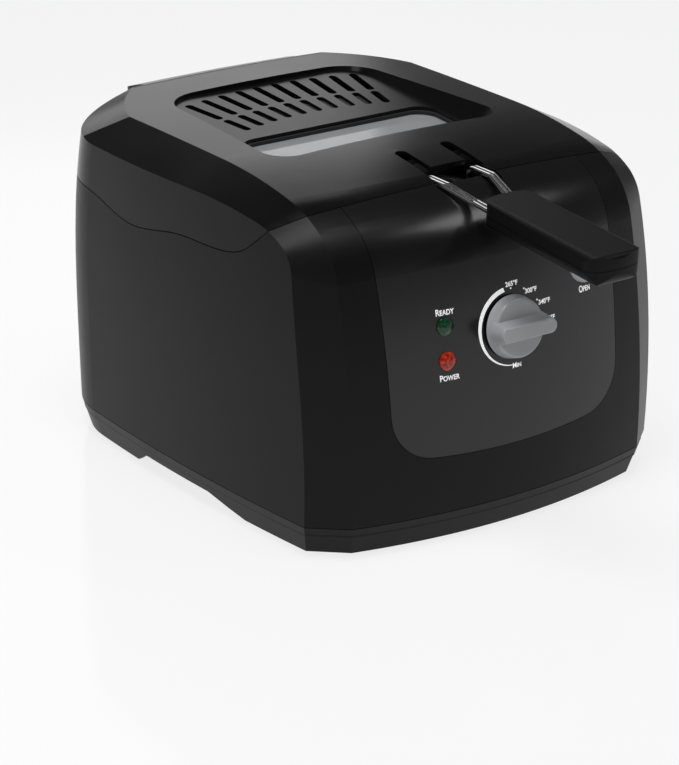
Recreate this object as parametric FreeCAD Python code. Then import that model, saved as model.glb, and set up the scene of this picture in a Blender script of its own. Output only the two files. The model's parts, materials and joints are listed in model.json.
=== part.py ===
import FreeCAD, Part
import functools
import math
import os

# Cool-touch deep fryer with a hinged lid, a lift-out basket and a front control panel.
# Millimetres, +Z up, +Y to the rear. While modelling, Y = 0 is the middle of the housing
# and Z = 0 is the table. On export everything moves along Y, so that the origin is under the
# middle of the whole object, handle included.

V = FreeCAD.Vector

# Overall sizes of the housing, without the handle
WIDTH = 289.0
DEPTH = 354.0
WALL = 2.6
SEAM_GAP = 0.6

# Front and top skin, seen from the side: tangent arcs from the skirt over the roll to the rear
FRONT_Y = -DEPTH / 2
FRONT_RADIUS = 520.0
FRONT_UPRIGHT_Z = 45.0
FRONT_LEAN = math.radians(13.9)
ROLL_RADIUS = 45.0
ROLL_END = math.radians(60.0)
BROW_RADIUS = 90.0
BROW_END = math.radians(80.0)
LID_FRONT_RADIUS = 400.0
LID_TOP_RADIUS = 6000.0
REAR_ROLL_Y = 138.0
REAR_ROLL_RADIUS = 18.0
FRONT_BOW = 1.23e-3
CROWN = 3.1

# Bands that chamfer the front corners and run on over the shoulders along the lid. Per millimetre
# outside the crease their section shrinks, rises and moves ahead by these amounts.
CREASE_X = 110.0
WING_X = 150.0
BAND_SHRINK = 0.954
BAND_RISE = 0.4625
BAND_AHEAD = 0.12
BAND_REAR_Y = 150.0
BAND_REAR_RADIUS = 60.0

# Plan of the housing: bowed sides, round rear corners, bowed rear wall
SIDE_RADIUS = 1412.0
SIDE_MIDDLE_Y = 42.0
REAR_Y = 154.0
REAR_RADIUS = 700.0
REAR_CORNER = 64.0
# Height and inset of the sides, which swell slightly and lean in towards the lid
BARREL = ((-12.0, 2.0), (20.0, 0.8), (85.0, 0.0), (150.0, 1.2), (195.0, 5.5), (232.0, 12.0))
# Cone that carries the bands on round the lid's rear corners
CORNER_CONE_Y = 53.6
CORNER_CONE_Z = 215.8
CORNER_CONE_SLOPE = 0.44

# Wavy seam between lid and housing, seen from the side, front to rear
SEAM = ((-104.0, 194.0), (-88.0, 180.5), (-70.0, 174.0), (-18.0, 171.0), (33.0, 163.0),
        (78.0, 170.0), (112.0, 172.0))
SEAM_SLOPE = 0.85

# Base
SKIRT_TOP = 20.0
SKIRT_BOTTOM = 2.0
SKIRT_TAPER = 0.968
ARCH = ((-86.0, 1.0), (-66.0, 5.0), (-46.0, 9.5), (24.0, 9.5), (38.0, 1.0))
FLOOR_Z = 11.0
FOOT_RADIUS = 10.0
FOOT_PLACES = ((-101.0, -128.0), (101.0, -128.0), (-117.0, 56.0), (117.0, 56.0))

# Control panel, a shield-shaped insert in the front, and what sits in it, as (X, Z) on the panel
PANEL_TOP_HALF = 89.0
PANEL_LOW_HALF = 85.5
PANEL_LOW_Z = 92.0
PANEL_BOTTOM_Z = 55.5
PANEL_BOTTOM_RISE = 5.0
PANEL_CORNER = 30.0
PANEL_DEPTH = 4.6
NOTCH_HALF = 23.0
NOTCH_FOOT_HALF = 19.0
NOTCH_FRONT_Y = -141.0
NOTCH_DEPTH = 3.2
KNOB_PLACE = (-0.5, 129.0)
KNOB_RADIUS = 19.5
READY_PLACE = (-46.8, 137.5)
POWER_PLACE = (-46.8, 116.6)
LENS_RADIUS = 5.7
LAMP_SEAT = -14.5
STRAP_SEAT = 10.6
BUTTON_PLACE = (61.0, 154.0)
BUTTON_RADIUS = 12.2
BUTTON_FLANGE = 9.6
STEM_RADIUS = 3.0
STEM_END = 22.0
GUIDE_SEAT = 16.5
GUIDE_HALF = 17.0
LATCH_PIVOT = V(61.0, -132.0, 178.0)
LATCH_PIN = 1.8
LATCH_FOOT_GAP = 0.8
STRIKE_FRONT_Y = -112.0

# Oil pot and basket
POT_MIDDLE_Y = 8.0
POT_HALF_X = 100.0
POT_HALF_Y = 96.0
POT_CORNER = 46.0
POT_FLOOR_Z = 52.0
POT_RIM_Z = 158.0
POT_WALL = 2.0
HEAT_SHIELD_Z = 30.0
DECK_THICKNESS = 2.2
BASKET_HALF_X = 86.0
BASKET_HALF_Y = 82.0
BASKET_CORNER = 34.0
BASKET_RIM_Z = 140.0
BASKET_FLOOR_Z = 66.0
BASKET_TAPER = 8.0
BASKET_LIFT = 45.0
RIM_WIRE = 2.2
HOOP_WIRE = 1.4
MESH_WIRE = 1.0
UPRIGHTS = 36
FLOOR_WIRES = 9
INLET_Z = 62.0

# Basket handle
HANDLE_ROOT_Y = -160.0
HANDLE_LENGTH = 108.0
HANDLE_ROOT_TOP = 209.5
HANDLE_TILT = 3.6
HANDLE_HALF = 17.5
HANDLE_TIP_HALF = 19.5
HANDLE_ROOT_BOW = 4.0
HANDLE_TIP_BOW = 4.0
HANDLE_THICKNESS = 20.0
HANDLE_PARTING = 9.0
HANDLE_WIRE = 1.5
WIRE_PITCH = 3.2
WIRE_IN_HANDLE_X = 12.6
WIRE_RISE_Y = -105.0
WIRE_TOP_Z = 208.2
SLOT_MIDDLE_X = 17.0
SLOT_HALF = 4.0
SLOT_REAR_Y = -76.0
TONGUE_FRONT_Y = -104.0

# Lid
SCOOP_REAR_Y = 110.0
SCOOP_FRONT_Y = -49.0
SCOOP_REAR_Z = 213.4
SCOOP_DEPTH_Z = 203.0
SCOOP_REAR_HALF = 75.0
SCOOP_FRONT_HALF = 79.0
# Height above the floor and widening of the coved side walls
SCOOP_COVE = ((0.0, 1.0), (6.0, 1.04), (26.0, 1.30))
WINDOW_HALF = 74.0
WINDOW_REAR_Y = 19.0
WINDOW_CORNER = 14.0
PANE_DROP = 5.0
PANE_THICKNESS = 3.0
VENTS_PER_ROW = 10
VENT_WIDTH = 5.6
TAIL_HALF = 61.0
TAIL_REAR_Y = DEPTH / 2
TAIL_TURN_Y = 122.0
TAIL_RADIUS = 150.0
TAIL_CORNER = 7.0
TAIL_DROP = 0.3
HINGE_Y = 165.0
HINGE_Z = 188.0
HINGE_PIN = 2.5
LINER_Z = 191.0
LID_POSTS = ((-98.0, -62.0), (98.0, -62.0), (-98.0, 92.0), (98.0, 92.0))


def box(x0, x1, y0, y1, z0, z1):
    """Upright box between two corners."""
    return Part.makeBox(x1 - x0, y1 - y0, z1 - z0, V(x0, y0, z0))


def level_slab(z0, z1):
    """Slab between two heights that reaches past the whole fryer."""
    return box(-200, 200, -300, 300, z0, z1)


def rod(radius, start, end):
    """Round bar between two points."""
    along = end - start
    return Part.makeCylinder(radius, along.Length, start, along)


def mirrored(shape):
    """The same shape on the other side of the middle plane."""
    return shape.mirror(V(0, 0, 0), V(1, 0, 0))


def polygon_prism(points, direction):
    """Prism over a closed polygon of vectors."""
    return Part.Face(Part.makePolygon(list(points) + [points[0]])).extrude(direction)


def rounded_wire(half_x, half_y, corner, z, middle_y=POT_MIDDLE_Y):
    """Closed rectangle with round corners, level at height z."""
    flat_x = half_x - corner
    flat_y = half_y - corner
    bulge = corner * math.sqrt(0.5)
    edges = []
    for quarter in range(4):
        turn = FreeCAD.Rotation(V(0, 0, 1), 90 * quarter)
        long_way = quarter % 2 == 0
        reach = flat_x if long_way else flat_y
        side = flat_y if long_way else flat_x
        start = V(reach + corner, side, 0)
        arc = Part.Arc(start, V(reach + bulge, side + bulge, 0), V(reach, side + corner, 0))
        line = Part.LineSegment(V(reach + corner, -side, 0), start)
        for curve in (line, arc):
            edge = curve.toShape()
            edge.Placement = FreeCAD.Placement(V(0, middle_y, z), turn)
            edges.append(edge)
    return Part.Wire(edges)


def rounded_prism(half_x, half_y, corner, z0, z1, middle_y=POT_MIDDLE_Y):
    """Upright prism over a rectangle with round corners."""
    return Part.Face(rounded_wire(half_x, half_y, corner, z0, middle_y)).extrude(V(0, 0, z1 - z0))


def rounded_polygon(corners, radii):
    """Closed wire through the corners, with an arc of its own radius at each."""
    count = len(corners)
    starts = []
    ends = []
    arcs = []
    for index, (corner, radius) in enumerate(zip(corners, radii)):
        back = (corners[index - 1] - corner).normalize()
        ahead = (corners[(index + 1) % count] - corner).normalize()
        half_turn = (math.pi - back.getAngle(ahead)) / 2
        trim = radius * math.tan(half_turn)
        inside = (back + ahead).normalize()
        middle = corner + inside * (radius / math.cos(half_turn) - radius)
        ends.append(corner + back * trim)
        starts.append(corner + ahead * trim)
        arcs.append(Part.Arc(ends[-1], middle, starts[-1]).toShape())
    edges = []
    for index, arc in enumerate(arcs):
        edges.append(arc)
        edges.append(Part.LineSegment(starts[index], ends[(index + 1) % count]).toShape())
    return Part.Wire(edges)


def bent_path(points, bend):
    """Wire of straight runs through the points, with a tangent arc at each inner one."""
    edges = []
    start = points[0]
    for before, corner, after in zip(points, points[1:], points[2:]):
        back = (before - corner).normalize()
        ahead = (after - corner).normalize()
        half_turn = (math.pi - back.getAngle(ahead)) / 2
        trim = bend * math.tan(half_turn)
        inside = (back + ahead).normalize()
        arc_start = corner + back * trim
        arc_end = corner + ahead * trim
        arc_middle = corner + inside * (bend / math.cos(half_turn) - bend)
        edges.append(Part.LineSegment(start, arc_start).toShape())
        edges.append(Part.Arc(arc_start, arc_middle, arc_end).toShape())
        start = arc_end
    edges.append(Part.LineSegment(start, points[-1]).toShape())
    return Part.Wire(edges)


def swept_round(path, radius):
    """Round wire along a path."""
    first = path.Edges[0]
    start = first.valueAt(first.FirstParameter)
    tangent = first.tangentAt(first.FirstParameter)
    profile = Part.Wire(Part.makeCircle(radius, start, tangent))
    return path.makePipeShell([profile], True, False)


def bent_rod(points, bend, radius):
    """Round wire bent through a list of points."""
    return swept_round(bent_path(points, bend), radius)


# Outer form

def front_bow(x):
    """How far the front lies behind its middle at x."""
    return FRONT_BOW * x * x


def crown(x):
    """How much higher the skin is at x than at the creases."""
    return CROWN * (1 - (x / CREASE_X) ** 2)


def front_y(x, z):
    """Y of the front below the roll, at x and height z."""
    rise = z - crown(x) - FRONT_UPRIGHT_Z
    return FRONT_Y + FRONT_RADIUS - math.sqrt(FRONT_RADIUS ** 2 - rise ** 2) + front_bow(x)


def side_section(x, shape_x, inset, rear_y=REAR_ROLL_Y, rear_radius=REAR_ROLL_RADIUS):
    """Closed outline of the fryer from the side, in the plane at x and drawn inset.

    shape_x is where the bow and crown are taken from, rear_y is where the top turns down to the rear.
    The arcs are concentric with those of the outer skin, so two sections with different insets make a
    wall of even thickness.
    """
    centre_y = FRONT_Y + FRONT_RADIUS + front_bow(shape_x)
    centre_z = FRONT_UPRIGHT_Z + crown(shape_x)
    base_z = BARREL[0][0]
    angle = math.asin((base_z - centre_z) / (FRONT_RADIUS - inset))
    radius = FRONT_RADIUS
    arcs = []
    stops = ((FRONT_LEAN, ROLL_RADIUS), (ROLL_END, BROW_RADIUS), (BROW_END, LID_FRONT_RADIUS),
             (math.pi / 2, LID_TOP_RADIUS), (None, rear_radius), (math.pi, None))
    for stop, next_radius in stops:
        if stop is None:
            stop = math.acos((centre_y - rear_y) / radius)
        arcs.append((centre_y, centre_z, radius - inset, angle, stop))
        if next_radius is not None:
            centre_y -= (radius - next_radius) * math.cos(stop)
            centre_z += (radius - next_radius) * math.sin(stop)
            radius = next_radius
        angle = stop

    def on_arc(arc, share):
        turn = arc[3] + (arc[4] - arc[3]) * share
        return V(x, arc[0] - arc[2] * math.cos(turn), arc[1] + arc[2] * math.sin(turn))

    edges = [Part.Arc(on_arc(arc, 0), on_arc(arc, 0.5), on_arc(arc, 1)).toShape() for arc in arcs]
    front_foot = on_arc(arcs[0], 0)
    rear_top = on_arc(arcs[-1], 1)
    rear_foot = V(x, rear_top.y, base_z)
    edges.append(Part.LineSegment(rear_top, rear_foot).toShape())
    edges.append(Part.LineSegment(rear_foot, front_foot).toShape())
    return Part.Wire(edges)


def plan_outline(z, inset):
    """Closed outline of sides and rear at height z, drawn inset and open far to the front."""
    far_front = FRONT_Y - 40.0
    side_centre = V(WIDTH / 2 - SIDE_RADIUS, SIDE_MIDDLE_Y, 0)
    rear_centre = V(0, REAR_Y - REAR_RADIUS, 0)
    # The corner circle touches the side and rear circles from within
    side_gap = SIDE_RADIUS - REAR_CORNER
    rear_gap = REAR_RADIUS - REAR_CORNER
    between = rear_centre - side_centre
    along = (side_gap ** 2 - rear_gap ** 2 + between.Length ** 2) / (2 * between.Length)
    across = math.sqrt(side_gap ** 2 - along ** 2)
    unit = V(between).normalize()
    corner_centre = side_centre + unit * along + V(-unit.y, unit.x, 0) * across

    def on_circle(centre, radius, direction):
        return centre + V(direction).normalize() * (radius - inset)

    side_end = on_circle(side_centre, SIDE_RADIUS, corner_centre - side_centre)
    rear_end = on_circle(rear_centre, REAR_RADIUS, corner_centre - rear_centre)
    outward = (corner_centre - side_centre).normalize() + (corner_centre - rear_centre).normalize()
    corner_middle = on_circle(corner_centre, REAR_CORNER, outward)
    side_radius = SIDE_RADIUS - inset
    front_x = side_centre.x + math.sqrt(side_radius ** 2 - (far_front - SIDE_MIDDLE_Y) ** 2)
    side_front = V(front_x, far_front, 0)
    side_middle = V(side_centre.x + side_radius, SIDE_MIDDLE_Y, 0)

    def flip(point):
        return V(-point.x, point.y, point.z)

    curves = [Part.LineSegment(flip(side_front), side_front),
              Part.Arc(side_front, side_middle, side_end),
              Part.Arc(side_end, corner_middle, rear_end),
              Part.Arc(rear_end, V(0, REAR_Y - inset, 0), flip(rear_end)),
              Part.Arc(flip(rear_end), flip(corner_middle), flip(side_end)),
              Part.Arc(flip(side_end), flip(side_middle), flip(side_front))]
    wire = Part.Wire([curve.toShape() for curve in curves])
    wire.translate(V(0, 0, z))
    return wire


def band_solid(inset):
    """Solid below the band on the right, which grows evenly towards the left, drawn inset."""
    crease = CREASE_X - 0.4 * inset
    sections = []
    for x in (-WING_X, WING_X):
        outside = x - crease
        section = side_section(x, CREASE_X, inset + BAND_SHRINK * outside, BAND_REAR_Y, BAND_REAR_RADIUS)
        section.translate(V(0, -BAND_AHEAD * outside, BAND_RISE * outside))
        sections.append(section)
    return Part.makeLoft(sections, True, True)


def corner_solid(inset):
    """Half a cone round the lid's rear corners with an open block in front of it, drawn inset."""
    low = CORNER_CONE_Z - 60.0
    high = CORNER_CONE_Z + 20.0
    crease_z = CORNER_CONE_Z - inset * math.hypot(1, CORNER_CONE_SLOPE)
    low_radius = CREASE_X + (crease_z - low) / CORNER_CONE_SLOPE
    high_radius = CREASE_X + (crease_z - high) / CORNER_CONE_SLOPE
    cone = Part.makeCone(low_radius, high_radius, high - low, V(0, CORNER_CONE_Y, low))
    ahead = box(-300, 300, FRONT_Y - 100, CORNER_CONE_Y, low, high)
    below = box(-300, 300, FRONT_Y - 100, TAIL_REAR_Y + 100, -50, low)
    return cone.multiFuse([ahead, below])


@functools.lru_cache(maxsize=None)
def skin(inset):
    """Solid inside the outer form of housing and lid together, drawn inset all round."""
    stations = [share * WING_X for share in (-1.0, -0.5, 0.0, 0.5, 1.0)]
    middle = Part.makeLoft([side_section(x, x, inset) for x in stations], True, False)
    barrel = Part.makeLoft([plan_outline(z, inset + lean) for z, lean in BARREL], True, False)
    band = band_solid(inset)
    return middle.common(band).common(mirrored(band)).common(barrel).common(corner_solid(inset))


def seam_prism(lift):
    """Everything above the lid seam, with the seam raised by lift."""
    points = [V(-WING_X - 10, y, z + lift) for y, z in SEAM]
    curve = Part.BSplineCurve()
    curve.interpolate(Points=points, Parameters=[y for y, z in SEAM],
                      InitialTangent=V(0, 1, -SEAM_SLOPE), FinalTangent=V(0, 1, 0), Scale=False)
    reach = 60.0
    front = points[0] + V(0, -reach, reach * SEAM_SLOPE)
    rear = points[-1] + V(0, 2 * reach, 0)
    top_rear = V(rear.x, rear.y, 300)
    top_front = V(front.x, front.y, 300)
    edges = [Part.LineSegment(front, points[0]).toShape(), curve.toShape()]
    for start, end in ((points[-1], rear), (rear, top_rear), (top_rear, top_front), (top_front, front)):
        edges.append(Part.LineSegment(start, end).toShape())
    return Part.Face(Part.Wire(edges)).extrude(V(2 * WING_X + 20, 0, 0))


def shield_prism(grow):
    """Prism through the front over the shield outline of the control panel."""
    top_z = 240.0
    near = FRONT_Y - 30.0
    far = SLOT_REAR_Y
    low_half = PANEL_LOW_HALF + grow
    top_half = PANEL_TOP_HALF + grow
    bottom = PANEL_BOTTOM_Z - grow
    corner_z = bottom + PANEL_BOTTOM_RISE
    points = [V(-top_half, near, top_z), V(-low_half, near, PANEL_LOW_Z), V(-low_half + 1, near, corner_z)]
    flipped = [V(-point.x, point.y, point.z) for point in reversed(points)]
    edges = [Part.LineSegment(points[0], points[1]).toShape(),
             Part.LineSegment(points[1], points[2]).toShape(),
             Part.Arc(points[2], V(0, near, bottom), flipped[0]).toShape(),
             Part.LineSegment(flipped[0], flipped[1]).toShape(),
             Part.LineSegment(flipped[1], flipped[2]).toShape(),
             Part.LineSegment(flipped[2], points[0]).toShape()]
    prism = Part.Face(Part.Wire(edges)).extrude(V(0, far - near, 0))
    corners = [edge for edge in prism.Edges
               if edge.BoundBox.YLength > 50 and edge.BoundBox.ZLength < 1
               and abs(edge.BoundBox.ZMin - corner_z) < 0.5]
    return prism.makeFillet(PANEL_CORNER + grow, corners)


def on_panel(shape, place):
    """Move a shape drawn about the Z axis so that Z points out of the panel at a place on it."""
    x, z = place
    rise = z - crown(x) - FRONT_UPRIGHT_Z
    lean = math.degrees(math.asin(rise / FRONT_RADIUS))
    turned = shape.copy()
    turned.rotate(V(0, 0, 0), V(1, 0, 0), 90 - lean)
    turned.translate(V(x, front_y(x, z), z))
    return turned


# Housing

def hinge_towers():
    """Two posts behind the rear wall that carry the hinge pin."""
    front = REAR_Y - 3.0
    post = polygon_prism((V(36, front, 140), V(36, front + 3.5, 134), V(36, 160, 148), V(36, 160, HINGE_Z),
                          V(36, REAR_Y + 1.2, HINGE_Z), V(36, REAR_Y + 1.2, 171), V(36, front, 171)),
                         V(9, 0, 0))
    eye = rod(8.0, V(36, HINGE_Y, HINGE_Z), V(45, HINGE_Y, HINGE_Z))
    bore = rod(HINGE_PIN + 0.03, V(30, HINGE_Y, HINGE_Z), V(50, HINGE_Y, HINGE_Z))
    post = post.fuse(eye).cut(bore)
    return [post, mirrored(post)]


def make_housing_shell(outer, inner, above_seam):
    """Bowed and chamfered side walls, open at the front for the panel and at the rear for the inlet."""
    shell = outer.cut(above_seam).cut(level_slab(-50, SKIRT_TOP + 0.4)).cut(inner)
    shell = shell.cut(shield_prism(0))
    shell = shell.cut(inlet_block(0.3))
    deck_seat = POT_RIM_Z - DECK_THICKNESS - 0.1
    ledge = skin(WALL / 2).common(level_slab(deck_seat - 3, deck_seat)).cut(skin(WALL + 2.3))
    return shell.multiFuse(hinge_towers() + [ledge.cut(shield_prism(6))])


def make_base_skirt(outer):
    """Tapered skirt under the housing, with an arch in each side."""
    section = outer.slice(V(0, 0, 1), SKIRT_TOP)[0]

    def ring(scale, z):
        wire = section.copy()
        wire.scale(scale, V(0, 0, SKIRT_TOP))
        wire.translate(V(0, 0, z - SKIRT_TOP))
        return wire

    wall = 0.019
    skirt = Part.makeLoft([ring(SKIRT_TAPER, SKIRT_BOTTOM), ring(1, SKIRT_TOP)], True, True)
    hollow = Part.makeLoft([ring(SKIRT_TAPER - wall, SKIRT_BOTTOM - 1),
                            ring(1 - wall, SKIRT_TOP + 1)], True, True)
    arch = polygon_prism([V(-200, y, z) for y, z in ARCH], V(400, 0, 0))
    lap = skin(WALL + 0.3).common(level_slab(SKIRT_TOP - 1, SKIRT_TOP + 6)).cut(skin(WALL + 2.3))
    root = skin(WALL / 2).common(level_slab(SKIRT_TOP - 6, SKIRT_TOP)).cut(skin(WALL + 2.3))
    return skirt.cut(hollow).multiFuse([lap, root]).cut(arch)


def make_bottom_cover(inner):
    """Bottom plate with cooling slots and a rim that stands up inside the housing."""
    section = inner.slice(V(0, 0, 1), SKIRT_TOP + 5)[0]

    def slab(scale, z0, z1):
        wire = section.copy()
        wire.scale(scale, V(0, 0, 0))
        wire.translate(V(0, 0, z0 - wire.BoundBox.ZMin))
        return Part.Face(wire).extrude(V(0, 0, z1 - z0))

    plate = slab(0.972, FLOOR_Z, FLOOR_Z + 14)
    plate = plate.cut(slab(0.955, FLOOR_Z + 2.4, FLOOR_Z + 20))
    cooling_slots = [box(-40, 40, y, y + 4, FLOOR_Z - 1, FLOOR_Z + 4) for y in range(-60, 61, 15)]
    bosses = []
    for x, y in FOOT_PLACES:
        bosses.append(Part.makeCylinder(FOOT_RADIUS + 2.5, FLOOR_Z - 4, V(x, y, 4)))
    for x in (-70, 70):
        for y in (-50, 66):
            bosses.append(Part.makeCylinder(4, HEAT_SHIELD_Z - FLOOR_Z - 1.1, V(x, y, FLOOR_Z + 1)))
    plate = plate.cut(Part.Compound(cooling_slots)).multiFuse(bosses)
    sockets = [Part.makeCylinder(FOOT_RADIUS - 3, 5, V(x, y, 3)) for x, y in FOOT_PLACES]
    return plate.cut(Part.Compound(sockets))


def make_rubber_feet():
    """Four feet with a stem in the bottom cover."""
    feet = []
    for x, y in FOOT_PLACES:
        pad = Part.makeCone(FOOT_RADIUS - 1, FOOT_RADIUS, 3.9, V(x, y, 0))
        stem = Part.makeCylinder(FOOT_RADIUS - 3.2, 4.5, V(x, y, 3))
        feet.append(pad.fuse(stem).removeSplitter())
    return Part.Compound(feet)


def make_top_deck(inner):
    """Level deck that closes the space between the housing and the oil pot."""
    section = inner.slice(V(0, 0, 1), POT_RIM_Z - DECK_THICKNESS)[0]
    section.scale(0.996, V(0, 0, POT_RIM_Z - DECK_THICKNESS))
    deck = Part.Face(section).extrude(V(0, 0, DECK_THICKNESS))
    hole = rounded_prism(POT_HALF_X + 0.3, POT_HALF_Y + 0.3, POT_CORNER, 0, 300)
    behind_panel = shield_prism(5.0).cut(skin(PANEL_DEPTH + 0.3))
    x = LATCH_PIVOT.x
    button_bay = box(x - GUIDE_HALF - 1.5, x + GUIDE_HALF + 1.5, FRONT_Y, LATCH_PIVOT.y - 2, 100, 200)
    latch_slot = box(x - 7, x + 7, FRONT_Y, LATCH_PIVOT.y + 12, 100, 200)
    return deck.cut(Part.Compound([hole])).cut(behind_panel).cut(button_bay).cut(latch_slot)


# Control panel

def notch_prism():
    """Wedge over the notch in the panel's top edge that the handle wires lie in."""
    rear = -100.0
    return polygon_prism((V(-NOTCH_HALF, rear, 150), V(-NOTCH_HALF, -128, 150),
                          V(-NOTCH_FOOT_HALF, NOTCH_FRONT_Y, 150), V(NOTCH_FOOT_HALF, NOTCH_FRONT_Y, 150),
                          V(NOTCH_HALF, -128, 150), V(NOTCH_HALF, rear, 150)), V(0, 0, 100))


def make_front_panel(outer, above_seam):
    """Shield-shaped insert with a flange behind the housing wall and holes for the controls."""
    back = skin(PANEL_DEPTH)
    ledge = skin(WALL + 0.3)
    face = outer.common(shield_prism(-0.35)).cut(back)
    flange = ledge.common(shield_prism(4)).cut(back)
    panel = face.fuse(flange).cut(above_seam)
    panel = panel.cut(outer.common(notch_prism()).cut(skin(NOTCH_DEPTH)))
    holes = [on_panel(Part.makeCylinder(3.3, 30, V(0, 0, -15)), KNOB_PLACE),
             on_panel(Part.makeCylinder(LENS_RADIUS + 0.1, 30, V(0, 0, -15)), READY_PLACE),
             on_panel(Part.makeCylinder(LENS_RADIUS + 0.1, 30, V(0, 0, -15)), POWER_PLACE),
             on_panel(Part.makeCylinder(BUTTON_RADIUS + 0.4, 30, V(0, 0, -15)), BUTTON_PLACE)]
    posts = [on_panel(Part.makeCylinder(4.0, 20, V(x, 0, -STRAP_SEAT + 0.1)), KNOB_PLACE) for x in (-30, 30)]
    for x in (3 - GUIDE_HALF, GUIDE_HALF - 3):
        for y in (-11, 11):
            posts.append(on_panel(Part.makeCylinder(2.4, 30, V(x, y, -GUIDE_SEAT + 0.1)), BUTTON_PLACE))
    inside = skin(WALL / 2)
    posts = [post.common(inside) for post in posts]
    return panel.cut(Part.Compound(holes)).multiFuse(posts)


def make_lens(place):
    """Domed jewel lens with a tube behind it that the lamp plugs into."""
    body = Part.makeCylinder(LENS_RADIUS, 0.5 - LAMP_SEAT, V(0, 0, LAMP_SEAT))
    dome = Part.makeSphere(8.0, V(0, 0, -5.1)).common(Part.makeCylinder(LENS_RADIUS, 6, V(0, 0, 0.5)))
    hollow = Part.makeCylinder(LENS_RADIUS - 1.4, -1.5 - LAMP_SEAT, V(0, 0, LAMP_SEAT))
    return on_panel(body.fuse(dome).cut(hollow), place)


def make_indicator_lamps():
    """Two neon lamps whose bases close the tubes behind the lenses."""
    pieces = []
    for place in (READY_PLACE, POWER_PLACE):
        bulb = Part.makeCylinder(2.6, 9, V(0, 0, LAMP_SEAT - 0.1))
        tip = Part.makeSphere(2.6, V(0, 0, LAMP_SEAT + 8.9))
        base = Part.makeCylinder(LENS_RADIUS, 5, V(0, 0, LAMP_SEAT - 5.1))
        pieces.append(on_panel(bulb.fuse(tip).fuse(base), place))
    return Part.Compound(pieces)


def make_knob():
    """Round control knob with a grip ridge that overhangs the disc as a pointer."""
    lift = 1.2
    disc = Part.makeCone(KNOB_RADIUS, KNOB_RADIUS - 1.5, 8.0, V(0, 0, lift))
    disc = disc.makeFillet(2.0, [edge for edge in disc.Edges if edge.BoundBox.ZMin > lift + 7])
    ridge = Part.makeLoft([ridge_wire(KNOB_RADIUS + 3.0, 7.0, lift + 5.0),
                           ridge_wire(KNOB_RADIUS + 0.5, 4.5, lift + 18.0)], True, True)
    ridge = ridge.makeFillet(1.2, [edge for edge in ridge.Edges if edge.BoundBox.ZMin > lift + 17])
    knob = disc.fuse(ridge)
    socket = Part.makeCylinder(3.02, 10, V(0, 0, lift - 0.1))
    return on_panel(knob.cut(socket), KNOB_PLACE)


def ridge_wire(reach, half_width, z):
    """Outline of the knob's ridge: blunt at one end, a rounded pointer at the other."""
    tail = -KNOB_RADIUS + 1.5
    neck = reach - half_width
    points = (V(tail, -half_width, z), V(neck, -half_width, z), V(reach, 0, z), V(neck, half_width, z),
              V(tail, half_width, z))
    edges = [Part.LineSegment(points[0], points[1]).toShape(),
             Part.Arc(points[1], points[2], points[3]).toShape(),
             Part.LineSegment(points[3], points[4]).toShape(),
             Part.Arc(points[4], V(tail - 2.5, 0, z), points[0]).toShape()]
    return Part.Wire(edges)


def make_thermostat_shaft():
    """Shaft between thermostat and knob."""
    shaft = Part.makeCylinder(3.0, 24.0, V(0, 0, -13.5))
    return on_panel(shaft, KNOB_PLACE)


def make_thermostat():
    """Adjustable thermostat behind the panel: can, bush with a clearance bore, and terminals."""
    can = Part.makeCylinder(15, 16, V(0, 0, -32))
    cap = Part.makeBox(34, 30, 4, V(-17, -15, -16))
    bush = Part.makeCylinder(5.5, 4.5, V(0, 0, -12))
    bore = Part.makeCylinder(3.1, 12, V(0, 0, -14))
    terminals = [Part.makeBox(6.3, 0.8, 12, V(x, 8, -44)) for x in (-12, 6)]
    body = can.multiFuse([cap, bush] + terminals).cut(bore)
    return on_panel(body, KNOB_PLACE)


def make_thermostat_bracket():
    """Steel strap that holds the thermostat to two posts behind the panel."""
    strap = Part.makeBox(74, 16, 1.2, V(-37, -8, -STRAP_SEAT - 1.2))
    hole = Part.makeCylinder(5.7, 8, V(0, 0, -14))
    return on_panel(strap.cut(hole), KNOB_PLACE)


def make_sensor():
    """Capillary from the thermostat to a bulb clipped under the pot."""
    start = on_panel(Part.Vertex(0, 0, -32.5), KNOB_PLACE).Point
    knee = V(start.x, start.y + 8, start.z)
    bulb_radius = 3.2
    under_pot = POT_FLOOR_Z - bulb_radius - 0.1
    bulb_start = V(start.x, POT_MIDDLE_Y - 40, under_pot)
    capillary = bent_rod((start, knee, V(start.x, knee.y + 5, under_pot), bulb_start), 5.0, 0.9)
    bulb = rod(bulb_radius, bulb_start, bulb_start + V(0, 70, 0))
    return capillary.fuse(bulb)


def make_button():
    """Round push button with a dished face and a stem behind."""
    body = Part.makeCylinder(BUTTON_RADIUS, BUTTON_FLANGE + 1.0, V(0, 0, 1.0 - BUTTON_FLANGE))
    body = body.makeFillet(1.2, [edge for edge in body.Edges if edge.BoundBox.ZMin > 1])
    dish = Part.makeSphere(60, V(0, 0, 61.3))
    flange = Part.makeCylinder(BUTTON_RADIUS + 1.8, 1.6, V(0, 0, -BUTTON_FLANGE))
    stem = Part.makeCylinder(STEM_RADIUS, STEM_END - 8.0, V(0, 0, -STEM_END))
    return on_panel(body.cut(dish).fuse(flange).fuse(stem), BUTTON_PLACE)


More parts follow.
